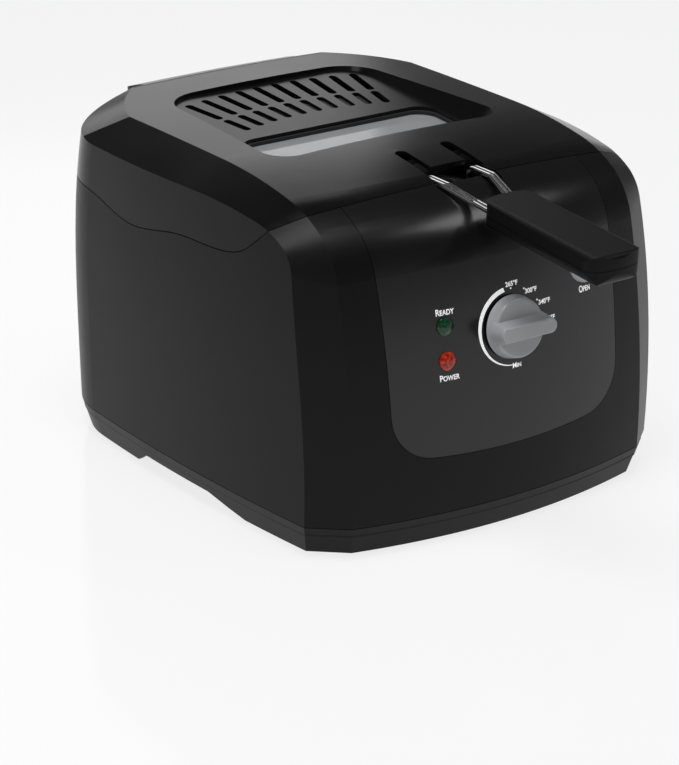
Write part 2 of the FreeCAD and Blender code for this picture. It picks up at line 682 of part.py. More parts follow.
def make_button_spring():
    """Two bowed leaf springs beside the stem, between the guide plate and the button's flange."""
    foot = -GUIDE_SEAT + 0.2
    crest = -BUTTON_FLANGE - 0.4
    leaf = 0.5
    reach = 11.0
    width = 3.0
    leaves = []
    for y in (-STEM_RADIUS - 1.5 - width, STEM_RADIUS + 1.5):
        outline = [Part.Arc(V(-reach, y, foot + leaf), V(0, y, crest), V(reach, y, foot + leaf)).toShape(),
                   Part.LineSegment(V(reach, y, foot + leaf), V(reach, y, foot)).toShape(),
                   Part.Arc(V(reach, y, foot), V(0, y, crest - leaf), V(-reach, y, foot)).toShape(),
                   Part.LineSegment(V(-reach, y, foot), V(-reach, y, foot + leaf)).toShape()]
        leaves.append(on_panel(Part.Face(Part.Wire(outline)).extrude(V(0, width, 0)), BUTTON_PLACE))
    return Part.Compound(leaves)


def make_button_guide():
    """Plate on four posts of the panel that guides the button's stem and backs its spring."""
    plate = Part.makeBox(2 * GUIDE_HALF, 28, 2, V(-GUIDE_HALF, -14, -GUIDE_SEAT - 2))
    hole = Part.makeCylinder(STEM_RADIUS + 0.2, 40, V(0, 0, -30))
    return on_panel(plate.cut(hole), BUTTON_PLACE)


def make_latch_pivot():
    """Pin that the latch lever rocks on, with an ear at each end on the panel's back."""
    half = 11.0
    pin = rod(LATCH_PIN, LATCH_PIVOT - V(half, 0, 0), LATCH_PIVOT + V(half, 0, 0))
    ears = []
    for x in (LATCH_PIVOT.x - half, LATCH_PIVOT.x + half - 2):
        ears.append(box(x, x + 2, FRONT_Y, LATCH_PIVOT.y + 4, LATCH_PIVOT.z - 5, LATCH_PIVOT.z + 5))
    return pin.multiFuse(ears).common(skin(PANEL_DEPTH + 0.3))


def make_latch_lever():
    """Lever between the button's stem and the strike on the lid."""
    foot = on_panel(Part.Vertex(0, 0, -STEM_END - LATCH_FOOT_GAP), BUTTON_PLACE).Point
    x = LATCH_PIVOT.x - 5
    y = LATCH_PIVOT.y
    z = LATCH_PIVOT.z
    nose = STRIKE_FRONT_Y - 0.5
    outline = ((foot.y, foot.z - 4), (foot.y + 4, foot.z - 4), (y + 4, z), (y + 4, z + 10), (nose, z + 14),
               (nose, z + 16.5), (y + 6, z + 17), (y - 2, z + 12), (y - 4, z), (foot.y + 0.6, foot.z + 4))
    lever = polygon_prism([V(x, along, height) for along, height in outline], V(10, 0, 0))
    bore = rod(LATCH_PIN + 0.05, LATCH_PIVOT - V(20, 0, 0), LATCH_PIVOT + V(20, 0, 0))
    return lever.cut(bore)


# Pot, heater and power inlet

def make_oil_pot():
    """Drawn pot with a rolled rim that hangs in the deck."""
    outer = rounded_prism(POT_HALF_X, POT_HALF_Y, POT_CORNER, POT_FLOOR_Z, POT_RIM_Z + 0.3)
    low_edges = [edge for edge in outer.Edges if edge.BoundBox.ZMax < POT_FLOOR_Z + 0.1]
    outer = outer.makeFillet(16, low_edges)
    inner = rounded_prism(POT_HALF_X - POT_WALL, POT_HALF_Y - POT_WALL, POT_CORNER - POT_WALL,
                          POT_FLOOR_Z + POT_WALL, POT_RIM_Z + 20)
    inner_edges = [edge for edge in inner.Edges if edge.BoundBox.ZMax < POT_FLOOR_Z + POT_WALL + 0.1]
    inner = inner.makeFillet(14, inner_edges)
    rim = rounded_prism(POT_HALF_X + 9, POT_HALF_Y + 9, POT_CORNER + 9, POT_RIM_Z + 0.3, POT_RIM_Z + 2.3)
    return outer.fuse(rim).cut(inner)


def make_heating_element():
    """Bent tubular heater clamped under the pot floor, with two cold ends."""
    z = POT_FLOOR_Z - 3.7
    front = POT_MIDDLE_Y - 60
    rear = POT_MIDDLE_Y + 55
    left = [V(-30, front - 4, z - 18), V(-30, front, z), V(-70, front + 6, z), V(-70, rear, z)]
    right = [V(-point.x, point.y, point.z) for point in reversed(left)]
    return bent_rod(left + right, 9.0, 3.6)


def make_heat_shield():
    """Bright pan under the heater that keeps heat off the bottom cover."""
    pan = rounded_prism(POT_HALF_X - 10, POT_HALF_Y - 10, POT_CORNER - 10, HEAT_SHIELD_Z, HEAT_SHIELD_Z + 11)
    hollow = rounded_prism(POT_HALF_X - 11, POT_HALF_Y - 11, POT_CORNER - 11, HEAT_SHIELD_Z + 1, 50)
    cold_end_ports = [Part.makeCylinder(5.0, 20, V(side * 30, POT_MIDDLE_Y - 64, 24)) for side in (-1, 1)]
    return pan.cut(hollow).cut(Part.Compound(cold_end_ports))


def make_thermal_fuse():
    """One-shot fuse in a clip on the pot's rear wall."""
    y = POT_MIDDLE_Y + POT_HALF_Y + 5.0
    fuse = rod(4.2, V(-14, y, 90), V(14, y, 90))
    leads = rod(0.9, V(-26, y, 90), V(26, y, 90))
    clip = box(-6, 6, POT_MIDDLE_Y + POT_HALF_Y + 0.1, y, 84, 96)
    return fuse.fuse(leads).fuse(clip)


def inlet_block(grow):
    """Block of the power inlet's body, which passes through the rear wall."""
    return box(-24 - grow, 24 + grow, REAR_Y - 26, REAR_Y + 20, INLET_Z - 14 - grow, INLET_Z + 14 + grow)


def make_power_inlet():
    """Recessed socket for a magnetic breakaway plug."""
    body = box(-24, 24, REAR_Y - 24, REAR_Y + 2.5, INLET_Z - 14, INLET_Z + 14)
    upright = [edge for edge in body.Edges if edge.BoundBox.YLength > 20]
    body = body.makeFillet(4.0, upright)
    cavity = box(-19, 19, REAR_Y - 14, REAR_Y + 10, INLET_Z - 9, INLET_Z + 9)
    long_edges = [edge for edge in cavity.Edges if edge.BoundBox.YLength > 20]
    flange = box(-28, 28, REAR_Y + 0.6, REAR_Y + 2.5, INLET_Z - 18, INLET_Z + 18)
    flange_edges = [edge for edge in flange.Edges if edge.BoundBox.YLength > 1 and edge.BoundBox.ZLength < 1
                    and edge.BoundBox.XLength < 1]
    return body.fuse(flange.makeFillet(5.0, flange_edges)).cut(cavity.makeFillet(2.5, long_edges))


def make_inlet_pins():
    """Two contact pins in the inlet."""
    pins = []
    for x in (-7.0, 7.0):
        pin = rod(2.0, V(x, REAR_Y - 13.9, INLET_Z), V(x, REAR_Y - 8.5, INLET_Z))
        pins.append(pin.fuse(Part.makeSphere(2.0, V(x, REAR_Y - 8.5, INLET_Z))))
    return Part.Compound(pins)


def make_inlet_magnets():
    """Two steel plates beside the pins that the plug's magnets hold on to."""
    seat = REAR_Y - 13.9
    plates = [box(x - 2.5, x + 2.5, seat, seat + 1.7, INLET_Z - 6, INLET_Z + 6) for x in (-15, 15)]
    return Part.Compound(plates)


# Lid

def scoop(grow):
    """Cutter for the scooped recess in the lid top: sloping floor, coved side walls."""
    return Part.makeLoft([scoop_wire(grow, flare, lift) for lift, flare in SCOOP_COVE], True, False)


def scoop_wire(grow, flare, lift):
    """Outline of the scoop: wide at the window, narrow behind the vents, on its sloping floor."""
    slope = (SCOOP_REAR_Z - SCOOP_DEPTH_Z) / (SCOOP_REAR_Y - SCOOP_FRONT_Y)

    def point(x, y):
        flat_y = SCOOP_FRONT_Y - grow if y < 0 else y + grow
        floor_z = SCOOP_DEPTH_Z - grow + slope * (flat_y - SCOOP_FRONT_Y)
        wide = math.copysign(abs(x) + grow, x) if x else 0.0
        return V(wide * flare, y + math.copysign(grow, y), floor_z + lift)

    rear_bow = 6.0
    front = SCOOP_FRONT_Y
    corners = (point(SCOOP_FRONT_HALF, front), point(SCOOP_REAR_HALF, SCOOP_REAR_Y - rear_bow),
               point(-SCOOP_REAR_HALF, SCOOP_REAR_Y - rear_bow), point(-SCOOP_FRONT_HALF, front))
    return rounded_polygon(corners, (20.0, 26.0, 26.0, 20.0))


def floor_height(y):
    """Height of the scoop's floor at y."""
    slope = (SCOOP_REAR_Z - SCOOP_DEPTH_Z) / (SCOOP_REAR_Y - SCOOP_FRONT_Y)
    return SCOOP_DEPTH_Z + slope * (y - SCOOP_FRONT_Y)


def window_prism(grow, z0, z1):
    """Prism over the window opening, round at its rear corners."""
    front = SCOOP_FRONT_Y + 3 - grow
    rear = WINDOW_REAR_Y + grow
    middle = (front + rear) / 2
    return rounded_prism(WINDOW_HALF + grow, (rear - front) / 2, WINDOW_CORNER, z0, z1, middle)


def vent_cutters():
    """Two rows of slots that fan out towards the rear."""
    rows = ((61.0, 88.0, 59.0, 64.0), (36.0, 53.0, 54.0, 57.0))
    cutters = []
    for front_y_row, rear_y_row, front_x, rear_x in rows:
        for index in range(VENTS_PER_ROW):
            share = 2 * index / (VENTS_PER_ROW - 1) - 1
            bow = 8.0 * (1 - share * share)
            start = V(share * front_x, front_y_row + bow, 0)
            end = V(share * rear_x, rear_y_row + bow, 0)
            along = (end - start).normalize()
            across = V(-along.y, along.x, 0) * (VENT_WIDTH / 2)
            outline = [Part.LineSegment(start + across, end + across).toShape(),
                       Part.Arc(end + across, end + along * (VENT_WIDTH / 2), end - across).toShape(),
                       Part.LineSegment(end - across, start - across).toShape(),
                       Part.Arc(start - across, start - along * (VENT_WIDTH / 2), start + across).toShape()]
            face = Part.Face(Part.Wire(outline))
            face.translate(V(0, 0, 196))
            cutters.append(face.extrude(V(0, 0, 30)))
    return Part.Compound(cutters)


def slot_cutters():
    """Slots for the handle wires, open at the lid's front edge, with the tongue between cut back."""
    slots = []
    for side in (-1, 1):
        middle = side * SLOT_MIDDLE_X
        slot = box(middle - SLOT_HALF, middle + SLOT_HALF, -170, SLOT_REAR_Y - SLOT_HALF, 150, 240)
        end = Part.makeCylinder(SLOT_HALF, 90, V(middle, SLOT_REAR_Y - SLOT_HALF, 150))
        slots.append(slot.fuse(end))
    tongue = box(-SLOT_MIDDLE_X, SLOT_MIDDLE_X, -170, TONGUE_FRONT_Y, 150, 240)
    return slots[0].multiFuse([slots[1], tongue])


def make_lid_cover(outer, inner, above_seam):
    """Lid shell: crowned top, chamfer bands, scoop with vents, wire slots and hinge tail."""
    shell = outer.common(above_seam).cut(inner)
    pan = scoop(2.4).common(outer)
    tail = lid_tail()
    posts = [Part.makeCylinder(4.5, 30, V(x, y, LINER_Z + 1.3)).common(outer) for x, y in LID_POSTS]
    shell = shell.multiFuse([pan, tail] + posts).cut(scoop(0))
    shell = shell.cut(window_prism(0, 180, 230))
    shell = shell.cut(vent_cutters())
    shell = shell.cut(slot_cutters())
    bore = rod(HINGE_PIN + 0.06, V(-70, HINGE_Y, HINGE_Z), V(70, HINGE_Y, HINGE_Z))
    return shell.cut(bore)


def tail_form(inset):
    """Lid top carried on to the rear and turning down gently, drawn inset."""
    half = TAIL_HALF - inset
    stations = (-half, 0.0, half)
    sections = [side_section(x, x, inset, TAIL_TURN_Y, TAIL_RADIUS) for x in stations]
    top = Part.makeLoft(sections, True, False)
    plan = box(-half, half, REAR_ROLL_Y - 2, TAIL_REAR_Y - inset, 100, 240)
    corners = [edge for edge in plan.Edges
               if edge.BoundBox.ZLength > 100 and edge.BoundBox.YMin > REAR_ROLL_Y]
    return top.common(plan.makeFillet(TAIL_CORNER - inset, corners))


def lid_tail():
    """Hollow tail behind the lid that covers the hinge."""
    underside = ((100.0, 240.0), (TAIL_REAR_Y + 10, 240.0), (TAIL_REAR_Y + 10, 190.0), (HINGE_Y + 7, 182.0),
                 (HINGE_Y - 6, 181.0), (150.0, 186.0), (138.0, 200.0), (100.0, 200.0))
    block = tail_form(TAIL_DROP).common(polygon_prism([V(-100, y, z) for y, z in underside], V(200, 0, 0)))
    return block.cut(tail_form(TAIL_DROP + WALL).common(box(-100, 100, REAR_Y - 0.5, 200, 100, 240)))


def make_window_pane():
    """Flat pane under the window opening."""
    return tilted_slab(window_prism(3.0, 150, 240), PANE_DROP, PANE_THICKNESS)


def tilted_slab(prism, drop, thickness):
    """Slice of an upright prism that lies parallel to the scoop's floor, below it by drop."""
    reach = 130.0
    corners = []
    for y in (-reach, reach):
        corners.append(V(-reach, y, floor_height(y) - drop - thickness))
    for y in (reach, -reach):
        corners.append(V(-reach, y, floor_height(y) - drop))
    return prism.common(polygon_prism(corners, V(2 * reach, 0, 0)))


def make_window_gasket():
    """Rubber frame between the scoop's floor and the pane."""
    ring = window_prism(3.0, 150, 240).cut(window_prism(-1.2, 140, 250))
    return tilted_slab(ring, 2.6, PANE_DROP - 2.8)


def make_lid_liner():
    """Pan inside the lid, with holes under the window and the vents and slots for the wires."""
    pan = rounded_prism(112, 110, 40, LINER_Z - 26, LINER_Z + 1.2, 6)
    hollow = rounded_prism(110.8, 108.8, 39, LINER_Z - 30, LINER_Z, 6)
    pan = pan.cut(hollow).cut(window_prism(-4, 100, 250))
    for x in range(-50, 51, 20):
        pan = pan.cut(Part.makeCylinder(6, 20, V(x, 58, LINER_Z - 10)))
        pan = pan.cut(Part.makeCylinder(6, 20, V(x, 80, LINER_Z - 10)))
    return pan.cut(slot_cutters())


def make_lid_seal():
    """Silicone seal along the liner's lower edge, which closes on the deck."""
    ring = rounded_prism(113.5, 111.5, 41, POT_RIM_Z + 0.6, LINER_Z - 26.2, 6)
    hole = rounded_prism(110.2, 108.2, 38, 0, 300, 6)
    return ring.cut(hole).cut(slot_cutters())


def make_filter_frame():
    """Frame under the vents that holds the filter."""
    tray = box(-66, 66, 44, 96, LINER_Z + 1.4, LINER_Z + 9)
    return tray.cut(box(-64, 64, 46, 94, LINER_Z + 1, LINER_Z + 20))


def make_vent_filter():
    """Charcoal filter pad below the vents."""
    return box(-63.5, 63.5, 46.5, 93.5, LINER_Z + 1.5, LINER_Z + 8)


def make_lid_strike(lid_inside):
    """Catch under the lid's front edge, behind the latch's nose."""
    x = LATCH_PIVOT.x
    lip = box(x - 7, x + 7, STRIKE_FRONT_Y, STRIKE_FRONT_Y + 2.4, 191, 230)
    foot = box(x - 7, x + 7, STRIKE_FRONT_Y, STRIKE_FRONT_Y + 12, 200, 230)
    return lip.fuse(foot).common(lid_inside)


def make_lid_screws():
    """Screws that hold the liner to the posts inside the lid."""
    heads = []
    for x, y in LID_POSTS:
        heads.append(Part.makeCylinder(3.6, 2.0, V(x, y, LINER_Z - 2.1)))
    return Part.Compound(heads)


def make_hinge_pin():
    """Steel pin through the towers and the lid's tail."""
    half = TAIL_HALF - 1.0
    return rod(HINGE_PIN, V(-half, HINGE_Y, HINGE_Z), V(half, HINGE_Y, HINGE_Z))


# Basket and handle

def hoop(wire_radius, drop, shrink):
    """Round-cornered hoop of the basket, below its rim by drop and smaller by shrink."""
    corner = BASKET_CORNER - shrink / 2
    path = rounded_wire(BASKET_HALF_X - shrink, BASKET_HALF_Y - shrink, corner, BASKET_RIM_Z - drop)
    return swept_round(path, wire_radius)


def make_basket_rim():
    """Stout rim wire."""
    return hoop(RIM_WIRE, 0, 0)


def make_basket_hoops():
    """Level wires round the basket, outside the uprights, and the floor hoop."""
    height = BASKET_RIM_Z - BASKET_FLOOR_Z
    hoops = []
    for share in (0.36, 0.68):
        hoops.append(hoop(HOOP_WIRE, share * height, share * BASKET_TAPER - 2.6))
    hoops.append(hoop(HOOP_WIRE, height, BASKET_TAPER))
    return Part.Compound(hoops)


def make_basket_uprights():
    """Sloping wires between the rim and the floor hoop, spaced evenly round it."""
    top = rounded_wire(BASKET_HALF_X, BASKET_HALF_Y, BASKET_CORNER, BASKET_RIM_Z - RIM_WIRE - 0.05)
    low = rounded_wire(BASKET_HALF_X - BASKET_TAPER, BASKET_HALF_Y - BASKET_TAPER,
                       BASKET_CORNER - BASKET_TAPER / 2, BASKET_FLOOR_Z + HOOP_WIRE + 0.05)
    starts = top.discretize(Number=UPRIGHTS + 1)
    ends = low.discretize(Number=UPRIGHTS + 1)
    return Part.Compound([rod(MESH_WIRE, end, start) for start, end in list(zip(starts, ends))[:UPRIGHTS]])


def make_basket_floor():
    """Two layers of crossing wires on the floor hoop."""
    half_x = BASKET_HALF_X - BASKET_TAPER
    half_y = BASKET_HALF_Y - BASKET_TAPER
    corner = BASKET_CORNER - BASKET_TAPER / 2
    layer = BASKET_FLOOR_Z + HOOP_WIRE + MESH_WIRE + 0.05
    wires = []
    for index in range(1, FLOOR_WIRES + 1):
        share = 2 * index / (FLOOR_WIRES + 1) - 1
        x = share * half_x
        y = share * half_y
        reach_y = half_y - corner_cut(abs(x) - (half_x - corner), corner) - 2.2
        reach_x = half_x - corner_cut(abs(y) - (half_y - corner), corner) - 2.2
        along = rod(MESH_WIRE, V(x, -reach_y, layer), V(x, reach_y, layer))
        upper = layer + 2 * MESH_WIRE + 0.05
        across = rod(MESH_WIRE, V(-reach_x, y, upper), V(reach_x, y, upper))
        for wire in (along, across):
            wire.translate(V(0, POT_MIDDLE_Y, 0))
            wires.append(wire)
    return Part.Compound(wires)


def corner_cut(into_corner, corner):
    """How much a round corner shortens a wire that runs into it by a given amount."""
    if into_corner <= 0:
        return 0.0
    return corner - math.sqrt(max(corner ** 2 - into_corner ** 2, 0.0))


def make_drain_hook():
    """Bent strip on the basket front that hangs it on the pot rim to drain."""
    back = POT_MIDDLE_Y - BASKET_HALF_Y - RIM_WIRE - 0.1
    sheet = 1.4
    lip = back - 7.0
    foot = 110.0
    top = BASKET_RIM_Z + 2
    outline = ((back, top), (back, foot), (lip + sheet, foot), (lip + sheet, foot - 5), (lip, foot - 5),
               (lip, foot + sheet), (back - sheet, foot + sheet), (back - sheet, top))
    return polygon_prism([V(-9, y, z) for y, z in outline], V(18, 0, 0))


def wire_points(offset):
    """Route of a handle wire from the basket rim, up through the lid slot and into the handle."""
    rim_y = POT_MIDDLE_Y - BASKET_HALF_Y - RIM_WIRE - HANDLE_WIRE - 0.1
    pot_y = rim_y - 5.4
    slot_x = SLOT_MIDDLE_X + offset
    handle_x = WIRE_IN_HANDLE_X + offset
    over_rim = POT_RIM_Z + 8.0
    return (V(slot_x, rim_y, 112), V(slot_x, rim_y, 132), V(slot_x, pot_y, 144), V(slot_x, pot_y, over_rim),
            V(slot_x, WIRE_RISE_Y, over_rim + 22), V(slot_x, WIRE_RISE_Y, WIRE_TOP_Z),
            V(slot_x, -126, WIRE_TOP_Z), V(handle_x, -149, 203.0), V(handle_x, HANDLE_ROOT_Y - 30, 199.6))


def handle_wire_set(first, radius):
    """Two wires side by side on the right and two on the left, from a point of the route on."""
    wires = []
    for offset in (-WIRE_PITCH / 2, WIRE_PITCH / 2):
        wire = bent_rod(wire_points(offset)[first:], 4.5, radius)
        wires.append(wire)
        wires.append(mirrored(wire))
    return Part.Compound(wires)


def make_handle_wires():
    """Two pairs of chrome wires between basket and handle."""
    return handle_wire_set(0, HANDLE_WIRE)


def handle_form():
    """Whole handle before it is tilted: plan, cross and side outlines intersected."""
    top = HANDLE_ROOT_TOP
    bottom = top - HANDLE_THICKNESS
    root = HANDLE_ROOT_Y
    tip = root - HANDLE_LENGTH
    wide = HANDLE_TIP_HALF
    root_side = root - HANDLE_ROOT_BOW
    tip_side = tip + HANDLE_TIP_BOW
    corners = (V(-HANDLE_HALF, root_side, 0), V(HANDLE_HALF, root_side, 0),
               V(wide, tip_side, 0), V(-wide, tip_side, 0))
    plan_edges = [Part.Arc(corners[0], V(0, root, 0), corners[1]).toShape(),
                  Part.LineSegment(corners[1], corners[2]).toShape(),
                  Part.Arc(corners[2], V(0, tip, 0), corners[3]).toShape(),
                  Part.LineSegment(corners[3], corners[0]).toShape()]
    plan = Part.Face(Part.Wire(plan_edges)).extrude(V(0, 0, 300))
    uprights = [edge for edge in plan.Edges if edge.BoundBox.ZLength > 200]
    plan = plan.makeFillet(8.0, uprights)
    cross_corners = [V(-wide, 0, top), V(wide, 0, top), V(wide, 0, bottom + 9), V(0.55 * wide, 0, bottom),
                     V(-0.55 * wide, 0, bottom), V(-wide, 0, bottom + 9)]
    cross = Part.Face(rounded_polygon(cross_corners, (5, 5, 9, 8, 8, 9))).extrude(V(0, -400, 0))
    side_corners = [V(-50, root + 5, bottom), V(-50, root + 5, top), V(-50, tip, top), V(-50, tip, bottom)]
    side = Part.Face(rounded_polygon(side_corners, (2, 2, 3, 9))).extrude(V(100, 0, 0))
    return plan.common(cross).common(side)


def tilt_handle(shape):
    """Tip the handle down towards its end."""
    tilted = shape.copy()
    tilted.rotate(V(0, HANDLE_ROOT_Y, HANDLE_ROOT_TOP), V(1, 0, 0), HANDLE_TILT)
    return tilted


def make_handle_half(upper):
    """Upper or lower shell of the handle, split at the parting line."""
    parting = HANDLE_ROOT_TOP - HANDLE_PARTING
    form = handle_form()
    if upper:
        half = form.common(box(-50, 50, -400, 0, parting + 0.15, 300))
    else:
        half = form.common(box(-50, 50, -400, 0, 0, parting - 0.15))
        for y in (HANDLE_ROOT_Y - 24, HANDLE_ROOT_Y - 84):
            half = half.cut(Part.makeCylinder(3.6, 6, V(0, y, HANDLE_ROOT_TOP - HANDLE_THICKNESS - 2)))
    return tilt_handle(half).cut(handle_wire_set(6, HANDLE_WIRE + 0.05))


def make_handle_screws():
    """Two screws sunk in the handle's underside."""
    screws = []
    for y in (HANDLE_ROOT_Y - 24, HANDLE_ROOT_Y - 84):
        z = HANDLE_ROOT_TOP - HANDLE_THICKNESS + 2.0
        screws.append(tilt_handle(Part.makeCylinder(3.3, 1.9, V(0, y, z))))
    return Part.Compound(screws)


def make_base_screws():
    """Screws that hold the bottom cover, sunk in its underside."""
    places = ((-70, -120), (70, -120), (-70, 110), (70, 110))
    return Part.Compound([Part.makeCylinder(3.5, 2.2, V(x, y, FLOOR_Z - 2.4)) for x, y in places])


def export(node, shape, shift):
    """Write one node, moved along Y so that the origin is under the middle of the whole object."""
    placed = shape.copy()
    placed.translate(V(0, shift, 0))
    placed.exportStep("parts/" + node + ".step")
    print(node, "solids", len(placed.Solids), "valid", placed.isValid(), "volume", round(placed.Volume))


def main():
    os.makedirs("parts", exist_ok=True)
    outer = skin(0)
    inner = skin(WALL)
    above_seam = seam_prism(0)
    lid_zone = seam_prism(SEAM_GAP)
    nodes = {
        "housing_shell": make_housing_shell(outer, inner, above_seam),
        "base_skirt": make_base_skirt(outer),
        "bottom_cover": make_bottom_cover(inner),
        "rubber_feet": make_rubber_feet(),
        "base_screws": make_base_screws(),
        "top_deck": make_top_deck(inner),
        "front_panel": make_front_panel(outer, above_seam),
        "ready_lens": make_lens(READY_PLACE),
        "power_lens": make_lens(POWER_PLACE),
        "indicator_lamps": make_indicator_lamps(),
        "thermostat": make_thermostat(),
        "thermostat_bracket": make_thermostat_bracket(),
        "thermostat_sensor": make_sensor(),
        "button_guide": make_button_guide(),
        "button_spring": make_button_spring(),
        "latch_pivot": make_latch_pivot(),
        "oil_pot": make_oil_pot(),
        "heating_element": make_heating_element(),
        "heat_shield": make_heat_shield(),
        "thermal_fuse": make_thermal_fuse(),
        "power_inlet": make_power_inlet(),
        "inlet_pins": make_inlet_pins(),
        "inlet_magnet_plates": make_inlet_magnets(),
        "hinge_pin": make_hinge_pin(),
        "lid_cover": make_lid_cover(outer, inner, lid_zone),
        "window_pane": make_window_pane(),
        "window_gasket": make_window_gasket(),
        "lid_liner": make_lid_liner(),
        "lid_seal": make_lid_seal(),
        "filter_frame": make_filter_frame(),
        "vent_filter": make_vent_filter(),
        "lid_strike": make_lid_strike(skin(WALL + 0.3)),
        "lid_screws": make_lid_screws(),
        "temperature_knob": make_knob(),
        "thermostat_shaft": make_thermostat_shaft(),
        "open_button": make_button(),
        "latch_lever": make_latch_lever(),
        "basket_rim": make_basket_rim(),
        "basket_hoops": make_basket_hoops(),
        "basket_uprights": make_basket_uprights(),
        "basket_floor": make_basket_floor(),
        "drain_hook": make_drain_hook(),
        "handle_wires": make_handle_wires(),
        "handle_upper": make_handle_half(True),
        "handle_lower": make_handle_half(False),
        "handle_screws": make_handle_screws(),
    }
    handle_front = nodes["handle_upper"].optimalBoundingBox().YMin
    shift = -(handle_front + TAIL_REAR_Y) / 2
    for node, shape in nodes.items():
        export(node, shape, shift)


main()
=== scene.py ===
import json
import logging
import math
from dataclasses import dataclass
from enum import Enum
from typing import Any, Dict, List, Optional, Sequence, Tuple, Union

import bpy
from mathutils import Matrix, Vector

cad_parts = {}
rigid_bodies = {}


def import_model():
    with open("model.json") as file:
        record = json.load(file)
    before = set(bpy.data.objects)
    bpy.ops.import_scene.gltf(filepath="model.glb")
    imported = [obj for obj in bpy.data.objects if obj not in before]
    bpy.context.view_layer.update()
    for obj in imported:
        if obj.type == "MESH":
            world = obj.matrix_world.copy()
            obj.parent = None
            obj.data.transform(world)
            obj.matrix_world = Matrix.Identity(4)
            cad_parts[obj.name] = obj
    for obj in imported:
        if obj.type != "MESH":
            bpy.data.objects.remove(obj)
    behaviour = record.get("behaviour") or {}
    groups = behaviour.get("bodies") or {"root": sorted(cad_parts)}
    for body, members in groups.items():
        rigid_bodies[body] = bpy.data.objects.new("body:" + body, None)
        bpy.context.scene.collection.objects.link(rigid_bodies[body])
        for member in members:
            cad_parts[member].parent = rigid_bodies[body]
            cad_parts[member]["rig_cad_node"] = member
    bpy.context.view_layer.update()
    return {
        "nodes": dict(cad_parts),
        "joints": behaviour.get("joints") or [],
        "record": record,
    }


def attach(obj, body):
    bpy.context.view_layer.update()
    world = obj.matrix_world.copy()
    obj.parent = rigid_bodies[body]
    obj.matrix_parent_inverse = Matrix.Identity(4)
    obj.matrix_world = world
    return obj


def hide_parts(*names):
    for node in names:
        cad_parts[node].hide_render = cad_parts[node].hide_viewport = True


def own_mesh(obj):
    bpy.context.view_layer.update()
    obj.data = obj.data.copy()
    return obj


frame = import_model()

LOG = logging.getLogger("fryer")
MM = 0.001
UPRIGHT = math.radians(90)
NOISE_MIDDLE = 0.5
FINE_LAYERS = 3.0
Colour = Tuple[float, float, float]
Point = Tuple[float, float, float]
Spot = Tuple[float, float]
Number = Union[float, "Value"]


class Body(Enum):
    """Rigid bodies that new pieces ride on, as the frame names them."""

    FRYER = "fryer"


class Sum(Enum):
    """Sums that a Math node does, as Blender names them."""

    ADD = "ADD"
    SUBTRACT = "SUBTRACT"
    MULTIPLY = "MULTIPLY"
    ABSOLUTE = "ABSOLUTE"
    MAXIMUM = "MAXIMUM"


class Value:
    """A number socket of a shader graph that can be used in sums."""

    def __init__(self, graph: "Graph", socket: bpy.types.NodeSocket) -> None:
        """Keep the socket and the graph it belongs to."""
        self.graph = graph
        self.socket = socket

    def _sum(self, operation: Sum, first: Number, second: Number) -> "Value":
        """Add one Math node."""
        return self.graph.node("ShaderNodeMath", {"operation": operation.value}, {0: first, 1: second})

    def __add__(self, other: Number) -> "Value":
        """Sum."""
        return self._sum(Sum.ADD, self, other)

    def __radd__(self, other: Number) -> "Value":
        """Sum with a plain number on the left."""
        return self._sum(Sum.ADD, other, self)

    def __sub__(self, other: Number) -> "Value":
        """Difference."""
        return self._sum(Sum.SUBTRACT, self, other)

    def __rsub__(self, other: Number) -> "Value":
        """Difference with a plain number on the left."""
        return self._sum(Sum.SUBTRACT, other, self)

    def __mul__(self, other: Number) -> "Value":
        """Product."""
        return self._sum(Sum.MULTIPLY, self, other)

    def __rmul__(self, other: Number) -> "Value":
        """Product with a plain number on the left."""
        return self._sum(Sum.MULTIPLY, other, self)

    def size(self) -> "Value":
        """The value without its sign."""
        return self._sum(Sum.ABSOLUTE, self, 0.0)

    def or_more(self, other: Number) -> "Value":
        """The larger of two values."""
        return self._sum(Sum.MAXIMUM, self, other)


def solid(colour: Colour, factor: float = 1.0) -> Tuple[float, float, float, float]:
    """Colour with full cover, each part multiplied by a factor."""
    return (colour[0] * factor, colour[1] * factor, colour[2] * factor, 1.0)


def grey(level: float) -> Tuple[float, float, float, float]:
    """Grey with full cover."""
    return solid((level, level, level))


